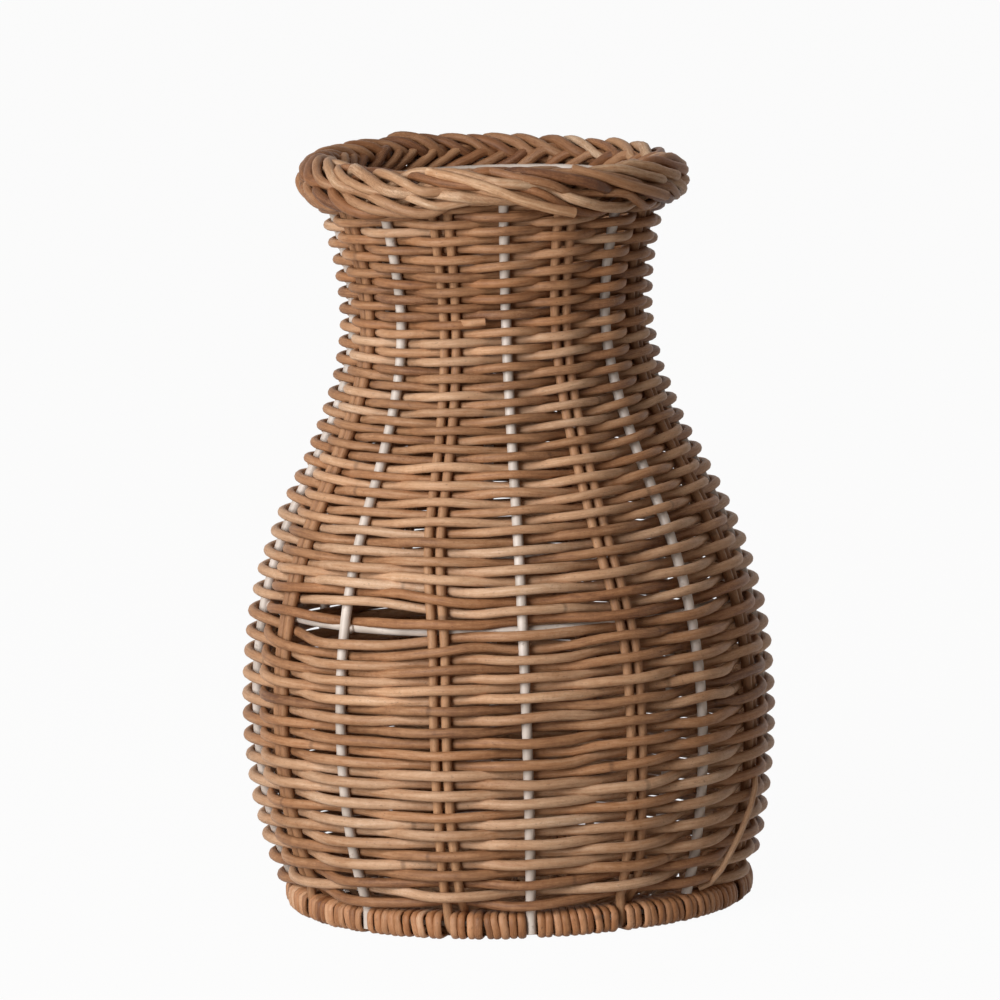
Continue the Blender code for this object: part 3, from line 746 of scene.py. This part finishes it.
def rise_on_right(azimuth, z):
    across = turn_from(RISE_AZIMUTH, azimuth) / RISE_WIDTH
    return SHOULDER_RISE * exp(-across ** 2) * exp(-((z - RISE_HEIGHT) / RISE_REACH) ** 2)


def wander(azimuth, z, seed, spacing, rise):
    """Smooth unevenness of the hand weave at a place on the wall."""
    across = warp_radius(z) / spacing
    mark = (across * sin(azimuth), -across * cos(azimuth) + seed * 7.3, z / rise + seed * 3.1)
    return smooth_noise(Vector(mark))


def weaver_line(start, strand, first, last):
    """Points of a weaver from warp number first to last, counted in sixteenths of a turn.

    Strand 0 is in front of the wires and strand 1 in front of the stakes."""
    points = []
    for k in range(first * POINTS_PER_WARP, last * POINTS_PER_WARP + 1):
        turn = k / POINTS_PER_WARP
        z = row_height(start + 2 * turn / WARPS)
        at_stake = sin(pi * turn / 2) ** 2
        azimuth = turn * tau / WARPS + at_stake * stake_shift(int(turn // 2), z)
        z += parting(azimuth, z) + rise_on_right(azimuth, z)
        # Both weavers wander together over some 70 mm, and each by itself over some 22 mm.
        z += (0.0009 + 0.0004 * cos(azimuth)) * wander(azimuth, z, 1.0, 0.070, 0.016)
        z += (0.0005 + 0.0003 * cos(azimuth)) * wander(azimuth, z, 2.0 + strand, 0.022, 0.005)
        phase = cos(pi * turn)
        side = phase if strand == 0 else -phase
        reach = (WIRE_DIAMETER * (1 + phase) / 2 + STAKE_DIAMETER * (1 - phase) / 2 + ROD_DIAMETER) / 2
        bow = side * reach + 0.0004 * wander(azimuth, z, 5.0 + strand, 0.030, 0.006)
        slope = warp_slope(z)
        size = hypot(1.0, slope)
        radius = warp_radius(z) + bow / size
        lean = bow * slope / size * LEAN_SHARE
        # 1 over the front and -1 over the back, with the change at the sides.
        facing = clamp(2.2 * cos(azimuth), -1.0, 1.0)
        drop = (INNER_DROP_FRONT if facing > 0 else INNER_RISE_BACK) * facing * (1 - side) / 2
        drop *= clamp((z - 0.018) / 0.020)
        points.append(place(radius, azimuth, 0.0, z - lean - drop))
    return points


weaving_cane = rattan("sanded rattan core, woven", ("#623D25", "#9F7451", "#C5A283", "#E3CBB3"),
                      fleck="#3C2416", shine=0.48)


def rod_shares(line, full, tag, strand):
    """Thickness along a rod: uneven in front, fuller and even at the back, thinner on the neck."""
    shares = []
    for i, point in enumerate(line):
        backward = clamp(point.y / hypot(point.x, point.y) * 2 + 0.4)
        uneven = 0.03 * smooth_noise(Vector((i * 0.13, tag * 50, strand)))
        share = full * (1 + uneven) * (1 - backward) + (ROD_FULL + FULLER_BACK) * backward
        shares.append(share * (1 - THINNER_NECK * neck_share(point.z) * (1 - 0.6 * backward)))
    return shares


def weaver_runs(strand, first_warp, generator):
    """Rods of one weaver, laid end to end from the base ring to the border.

    Each point above the last row is left out, which parts the line of a rod that dips under the border."""
    level_start = START_ROW - 2 * first_warp / WARPS
    runs = []
    at = first_warp
    end = first_warp + int((len(rows) + 2) * WARPS / 2)
    while at < end:
        stop = min(at + generator.randrange(*ROD_WARPS), end)
        # A rod ends behind a warp that it would otherwise pass inside.
        if (stop + strand) % 2 == 0 and stop < end:
            stop += 1
        full = ROD_FULL + generator.uniform(*ROD_UNEVEN)
        tag = generator.random()
        line = []
        for point in weaver_line(level_start, strand, at, stop) + [None]:
            if point is not None and point.z < last_row(atan2(point.x, -point.y)):
                line.append(point)
                continue
            if len(line) > 3:
                runs.append((line, rod_shares(line, full, tag, strand), tag, False))
            line = []
        at = stop
        # Above this the whole weaver is under the border.
        if row_height(level_start + 2 * stop / WARPS) > LAST_ROW_HEIGHT + 0.012:
            break
    return runs


def tapered_start(strand, first_warp, tag):
    """Tip of the first rod, which thickens as the row above it rises away from the base ring."""
    level_start = START_ROW - 2 * first_warp / WARPS
    begin = first_warp - TIP_WARPS
    line = []
    shares = []
    for k, point in enumerate(weaver_line(level_start, strand, begin, first_warp)):
        warp = begin + k / POINTS_PER_WARP
        room = ROW_PITCH_BELLY * (warp - first_warp + WIRE_COUNT) / WIRE_COUNT
        level = level_start + 2 * warp / WARPS
        point.z += row_height(START_ROW) + (room - ROW_PITCH_BELLY) / 2 - row_height(level)
        # Being thin, it lies closer to the warps than a whole rod.
        middle = place(warp_radius(point.z), atan2(point.x, -point.y), 0.0, point.z)
        closer = (WIRE_DIAMETER + room) / (WIRE_DIAMETER + ROD_DIAMETER)
        line.append(middle + (point - middle) * closer)
        shares.append(1.02 * room / ROD_DIAMETER)
    return (line, shares, tag, False)


def loose_run(stations, share, tag):
    """Rod through stations of (azimuth in degrees, height, distance outside the warp line), smoothed."""
    points = []
    for a, b in zip(stations, stations[1:]):
        for k in range(6):
            t = 0.3 * ease(k / 6) + 0.7 * k / 6
            azimuth, z, out = (p + (q - p) * t for p, q in zip(a, b))
            points.append(place(offset_radius(z, out), radians(azimuth), 0.0, z))
    return (points, [share] * len(points), tag, False)


# Two ends show on the outside: a thin tail that hangs across the rows on the right of the foot, and a cut
# end on the neck, where a rod was laid in.
LOOSE_TAIL = (
    (66.0, 0.0660, 0.0035), (63.0, 0.0590, 0.0072), (60.0, 0.0500, 0.0084), (57.0, 0.0400, 0.0082),
    (54.0, 0.0310, 0.0078), (51.5, 0.0225, 0.0072), (49.5, 0.0165, 0.0052), (47.5, 0.0140, 0.0020),
)
CUT_END = (
    (-28.0, 0.2866, -0.0045), (-22.5, 0.2870, -0.0050), (-17.5, 0.2878, 0.0020), (-13.0, 0.2884, 0.0058),
    (-7.0, 0.2889, 0.0054),
)

chance = random.Random(5)
for name, strand, first_warp in (("weaver_over_wires", 0, 10), ("weaver_over_stakes", 1, 2)):
    runs = weaver_runs(strand, first_warp, chance)
    if strand == 0:
        runs += [tapered_start(strand, first_warp, 0.52), loose_run(LOOSE_TAIL, 0.62, 0.31)]
    else:
        runs.append(loose_run(CUT_END, 0.80, 0.84))
    weaver = rods(name, runs, ROD_DIAMETER, 10, weaving_cane)
    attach(weaver, "root")
    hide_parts("woven_belly", "woven_shoulder")


# Plaited border: the ends of stakes and rods, twelve strands of them, plaited over the rim hoop. Each
# strand comes up out of the plait on its top, goes down one face, and crosses inside to the other.
BORDER_RADIUS = 0.0838
BORDER_CENTRE = 0.3500
BORDER_REACH = 0.0081
BORDER_RISE = 0.0098
BORDER_STRANDS = 12
BORDER_CYCLES = 3
STRAND_DIAMETER = 0.0049
# The border is a little narrower from side to side than from front to back. It sits higher on the left
# than on the right, and is this much thinner in front.
BORDER_TILT = 0.0022
BORDER_THINNER = 0.34
# At the back the plait is rolled inwards by this much, so that its crossings face the mouth.
BORDER_ROLL = radians(60)
# There it is also flatter above and below its middle by these shares.
BORDER_FLATTER = (0.14, 0.28)
# How unevenly the strands lie: across and up, as a share of the border's reach and rise, and along.
BORDER_UNEVEN = 0.20
BORDER_UNEVEN_ALONG = 0.055
# Share of a strand's cycle at which it crosses inside the plait and one length is joined to the next.
BORDER_JOINT = 0.48
# One cycle of a strand: share of the cycle, place across the border (out is +1), place up it (top is +1).
BORDER_PATH = (
    (0.000, -0.05, 0.90),
    (0.055, 0.50, 0.88),
    (0.110, 0.92, 0.52),
    (0.160, 1.06, 0.20),
    (0.198, 0.62, 0.02),
    (0.240, 0.55, -0.10),
    (0.290, 1.04, -0.34),
    (0.345, 0.94, -0.76),
    (0.410, 0.45, -0.98),
    (0.500, 0.05, -0.40),
    (0.560, 0.15, 0.35),
    (0.607, 0.05, 0.90),
    (0.662, -0.52, 0.86),
    (0.722, -1.02, 0.42),
    (0.785, -1.24, -0.26),
    (0.845, -0.95, -0.86),
    (0.910, -0.15, -0.45),
    (0.960, -0.20, 0.30),
)


def spline_value(a, b, c, d, t):
    """Value at t of the smooth curve that is b at 0 and c at 1, where a comes before and d after."""
    square = (2 * a - 5 * b + 4 * c - d) * t * t
    cube = (3 * b - a - 3 * c + d) * t ** 3
    return 0.5 * (2 * b + (c - a) * t + square + cube)


def closed_spline(knots, s):
    """Smooth closed curve through knots (share, across, up), read at a share of its cycle."""
    count = len(knots)
    s = s % 1.0
    i = max(k for k in range(count) if knots[k][0] <= s)
    span = [knots[(i + k) % count] for k in (-1, 0, 1, 2)]
    start = span[1][0]
    stop = span[2][0] if i + 1 < count else 1.0
    t = (s - start) / (stop - start)
    return [spline_value(*(knot[axis] for knot in span), t) for axis in (1, 2)]


def back_share(azimuth):
    """1 over the back third of the border and 0 over its front, with a smooth change at the sides."""
    return ease((abs(turn_from(0.0, azimuth)) - radians(75)) / radians(60))


def border_lag(turn):
    """Share of a cycle that a strand lags by.

    It runs steeper on the left of the front and flatter on its right."""
    return 0.12 * sin(tau * (turn - 0.08))


def border_point(strand, turn):
    """Point of a border strand after a share of a turn round the mouth."""
    s = BORDER_CYCLES * turn + strand / BORDER_STRANDS - border_lag(turn)
    azimuth = tau * turn
    across, up = closed_spline(BORDER_PATH, s)
    share = back_share(azimuth)
    roll = BORDER_ROLL * share
    across, up = across * cos(roll) - up * sin(roll), across * sin(roll) + up * cos(roll)
    up *= 1 - BORDER_FLATTER[0 if up > 0 else 1] * share
    mark = Vector((strand * 3.7, turn * 24.0, 0.0))
    across += BORDER_UNEVEN * smooth_noise(mark)
    up += BORDER_UNEVEN * smooth_noise(mark + Vector((0.0, 0.0, 9.0)))
    azimuth += BORDER_UNEVEN_ALONG * smooth_noise(mark + Vector((0.0, 0.0, 18.0)))
    lift = 0.0007 * sin(azimuth * 2 + 0.6) + 0.0006 * sin(azimuth * 5 + 2.0) - BORDER_TILT * sin(azimuth)
    thinner = BORDER_THINNER * front_share(azimuth)
    z = BORDER_CENTRE + lift + BORDER_RISE * (up + thinner * (0.9 - up))
    narrower = (0.0017 - 0.0005 * sin(azimuth)) * sin(azimuth) ** 2
    return place(BORDER_RADIUS - narrower + BORDER_REACH * across, azimuth, 0.0, z)


chance = random.Random(31)
border_runs = []
for strand in range(BORDER_STRANDS):
    # Strands are joined where they cross inside the plait, so each length has its own tone.
    breaks = []
    for k in range(BORDER_CYCLES + 1):
        cycles = k + BORDER_JOINT - strand / BORDER_STRANDS
        turn = cycles / BORDER_CYCLES
        # The lag depends on the turn, so both are found in a few rounds.
        for _ in range(8):
            turn = (cycles + border_lag(turn)) / BORDER_CYCLES
        breaks.append(turn)
    for low, high in zip(breaks, breaks[1:]):
        count = 72
        line = [border_point(strand, low + (high - low) * k / count) for k in range(count + 1)]
        full = 1.0 + chance.uniform(-0.16, 0.14)
        border_runs.append((line, [full] * len(line), chance.random(), False))
# Ends that are brought down over the outside and cut: (azimuth in degrees, place out, height) on the way.
BORDER_ENDS = (
    ((-24.0, 0.2, 0.3610), (-15.5, 0.85, 0.3592), (-5.0, 1.25, 0.3545), (4.5, 1.42, 0.3475),
     (13.0, 1.38, 0.3430), (20.0, 1.30, 0.3403)),
    ((22.0, 0.3, 0.3600), (30.0, 0.95, 0.3560), (40.0, 1.30, 0.3500), (50.0, 1.35, 0.3455),
     (57.0, 1.20, 0.3425)),
)
for k, stations in enumerate(BORDER_ENDS):
    stops = []
    for a, b in zip(stations, stations[1:]):
        stops += [[p + (q - p) * step / 5 for p, q in zip(a, b)] for step in range(5)]
    stops.append(stations[-1])
    line = [place(BORDER_RADIUS + BORDER_REACH * across, radians(azimuth), 0.0, z)
            for azimuth, across, z in stops]
    smooth = [line[0]] + [(p + q + r) / 3 for p, q, r in zip(line, line[1:], line[2:])] + [line[-1]]
    border_runs.append((smooth, [1.0] * len(smooth), 0.37 + 0.21 * k, False))
border_cane = rattan("sanded rattan core, plaited", ("#56341F", "#8B603F", "#AF8968", "#DFC5A8"),
                     fleck="#382113", shine=0.48, spread=0.60)
border = rods("border_strands", border_runs, STRAND_DIAMETER, 10, border_cane)
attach(border, "root")
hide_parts("plaited_border")


# Base binding: thin split rattan wound tightly round the base hoop and the padding rods that lie along
# it. The winding stops at each stake, whose own loop covers the hoop there, and leaves the feet
# of wires 1 and 8 bare.
BINDING_STRAND = 0.0024
BINDING_STRAND_WIDTH = 0.0040
BINDING_HEIGHT = 0.0132
BINDING_COVER = 0.0017
BINDING_PITCH = 0.0038
WRAP_POINTS = 20
# 2 would make the ring's section an oval, and more makes it squarer.
BINDING_SQUARENESS = 4.0
# At the right of the front the ring is wound this much fuller outside.
BINDING_BULGE = 0.0028
BULGE_AZIMUTH = radians(50)
BULGE_WIDTH = radians(26)
# How often a wrap is of another piece of strand, with a tone of its own.
NEW_STRAND_SHARE = 0.22
# Wires whose feet the winding leaves bare, and the share of their thickness that shows.
BARE_FEET = {0: 1.0, 7: 0.7}
PADDING_DIAMETER = 0.0044


def binding_inner_radius():
    return base_hoop_radius() - BASE_HOOP_DIAMETER / 2 - TOUCH_GAP - BINDING_STRAND


def binding_section(t, inset):
    """Point (radius, height) on the rounded section of the bound ring, inset by some depth."""
    low = binding_inner_radius() + inset
    high = FOOT_RADIUS + WIRE_DIAMETER / 2 + BINDING_COVER - inset
    top = BINDING_HEIGHT - inset
    angle = tau * t
    middle_r = (low + high) / 2
    middle_z = (inset + top) / 2
    half_r = (high - low) / 2
    half_z = (top - inset) / 2
    across = cos(angle)
    up = sin(angle)
    length = (abs(across) ** BINDING_SQUARENESS + abs(up) ** BINDING_SQUARENESS) ** (1 / BINDING_SQUARENESS)
    return middle_r + half_r * across / length, middle_z + half_z * up / length


binding_cane = rattan("split rattan strand, wound", ("#5C3721", "#986944", "#BF926F", "#E1C6A9"),
                      fleck="#342014", shine=0.46, spread=0.44)
chance = random.Random(47)
binding_runs = []
loop_half = (STAKE_SPACING_FOOT / 2 * STAKE_LOOP_SHARE + STAKE_DIAMETER / 2) / base_hoop_radius()
mean_radius = (binding_inner_radius() + FOOT_RADIUS + WIRE_DIAMETER / 2 + BINDING_COVER) / 2
strand_half = BINDING_STRAND_WIDTH * 0.45 / mean_radius
wire_half = WIRE_DIAMETER / 2 / mean_radius
spans = []
for i in range(WIRE_COUNT):
    start = stake_azimuth(i - 1, 0.0) + loop_half + strand_half
    stop = stake_azimuth(i, 0.0) - loop_half - strand_half
    if i in BARE_FEET:
        azimuth = i * tau / WIRE_COUNT
        bare = wire_half * BARE_FEET[i] + strand_half
        spans += [(start, azimuth - bare), (azimuth + bare, stop)]
    else:
        spans.append((start, stop))
    # Two more wraps go round between the legs of each stake and over the second leg, which stands inside.
    for beside in (-0.0002, 0.0034):
        azimuth = stake_azimuth(i, 0.0) + beside / mean_radius
        spans.append((azimuth - 0.001, azimuth + 0.001))
for start, stop in spans:
    wraps = max(1, round((stop - start) * mean_radius / BINDING_PITCH)) if stop - start > 0.01 else 0
    tag = chance.random()
    for wrap in range(wraps + 1):
        if chance.random() < NEW_STRAND_SHARE:
            tag = chance.random()
        lean = chance.uniform(-0.15, 0.85) * BINDING_PITCH / mean_radius
        middle = start + (stop - start) * (wrap + chance.uniform(-0.16, 0.16)) / max(wraps, 1)
        rise = chance.uniform(-0.0004, 0.0004)
        full = 1.0 + chance.uniform(-0.14, 0.10)
        bulge = BINDING_BULGE * exp(-((middle - BULGE_AZIMUTH) / BULGE_WIDTH) ** 2)
        line = []
        for k in range(WRAP_POINTS + 1):
            t = k / WRAP_POINTS - 0.25
            outside = cos(tau * t)
            r, z = binding_section(t, BINDING_STRAND / 2)
            # A wrap leans one way on the outside of the ring and the other way inside it.
            azimuth = middle - lean * (z / BINDING_HEIGHT - 0.5) * outside
            r += rise + bulge * max(outside, 0.0) ** 0.5
            z = max(z, BINDING_STRAND * full / 2 + 0.0001)
            line.append(place(r, clamp(azimuth, start, stop), 0.0, z))
        binding_runs.append((line, [full] * len(line), (tag + 0.02 * chance.random()) % 1.0, False))
binding = rods("base_binding", binding_runs, BINDING_STRAND, 10, binding_cane,
               width=BINDING_STRAND_WIDTH / BINDING_STRAND)
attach(binding, "root")
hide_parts(*["base_binding_%d" % (i + 1) for i in range(WIRE_COUNT)])


# Padding: two rods of round rattan core laid along the base hoop, one above and one below, which fill the
# ring's section out. Nothing but the winding holds them.
padding_runs = []
for radius, z in ((base_hoop_radius() + 0.0016, 0.0098), (base_hoop_radius() - 0.0004, 0.0028)):
    count = 120
    line = [place(radius, tau * k / count, 0.0, z) for k in range(count)]
    padding_runs.append((line, [1.0] * count, chance.random(), True))
padding = rods("base_padding", padding_runs, PADDING_DIAMETER, 8, stake_cane)
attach(padding, "root")
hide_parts(*["base_binding_%d" % (i + 1) for i in range(WIRE_COUNT)])


# Floor sticks: eight sticks of round rattan core, crossed and bent over each other at the middle. Their
# ends are pushed in against the base ring, so that the floor hangs a little above the ground.
FLOOR_ROD = 0.0031
FLOOR_STICK = 0.0030
FLOOR_MIDDLE = 0.0072
FLOOR_EDGE = binding_inner_radius() - 0.0002
FLOOR_FIRST_ROW = 0.0160
FLOOR_STICKS = 8

chance = random.Random(59)
floor_runs = []
for i in range(FLOOR_STICKS):
    azimuth = (i + 0.5) * pi / FLOOR_STICKS
    reach = FLOOR_EDGE - FLOOR_STICK / 2
    count = 24
    line = []
    for k in range(count + 1):
        across = reach * (2 * k / count - 1)
        over = 0.0014 * (1 if i % 2 else -1) * exp(-(across / 0.012) ** 2)
        line.append(place(across, azimuth, 0.0, FLOOR_MIDDLE + over))
    floor_runs.append((line, [1.0] * len(line), chance.random(), False))
floor_sticks = rods("floor_sticks", floor_runs, FLOOR_STICK, 8, stake_cane)
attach(floor_sticks, "root")
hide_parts("woven_floor")


# Floor weave: two thin rods of rattan core, woven over and under the sticks and round and round out to the
# base ring. They are joined here and there, and their tips are pared down against the ring.
FLOOR_TURN_POINTS = 96
FLOOR_LENGTH_POINTS = 420
FLOOR_TIP_POINTS = 48
# Room from one row to the next, and how far the rods bow out at a stick, as shares of touching.
FLOOR_ROOM = 1.02
FLOOR_BOW = 0.94

floor_runs = []
for strand in range(2):
    pitch = 2 * FLOOR_ROD * FLOOR_ROOM
    turns = (FLOOR_EDGE - FLOOR_ROD / 2 - FLOOR_FIRST_ROW) / pitch
    count = int(turns * FLOOR_TURN_POINTS)
    line = []
    shares = []
    # The tip goes on for half a turn after the last whole row, short of a few points of no thickness.
    for k in range(count + FLOOR_TIP_POINTS - 5):
        turn = k / FLOOR_TURN_POINTS
        azimuth = tau * turn + strand * pi
        share = min(1.0, 1.0 - (k - count) / FLOOR_TIP_POINTS)
        out = pitch * min(turn, count / FLOOR_TURN_POINTS) + FLOOR_ROD / 2 * (1 - share)
        side = cos(FLOOR_STICKS * azimuth - pi / 2) * (1 if strand else -1)
        bow = side * (FLOOR_ROD * share + FLOOR_STICK) / 2 * FLOOR_BOW
        line.append(place(FLOOR_FIRST_ROW + out, azimuth, 0.0, FLOOR_MIDDLE + bow))
        shares.append(share)
    cuts = list(range(0, count - 60, FLOOR_LENGTH_POINTS)) + [len(line) - 1]
    for low, high in zip(cuts, cuts[1:]):
        floor_runs.append((line[low:high + 1], shares[low:high + 1], chance.random(), False))
floor_weave = rods("floor_weave", floor_runs, FLOOR_ROD, 8, weaving_cane)
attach(floor_weave, "root")
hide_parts("woven_floor")
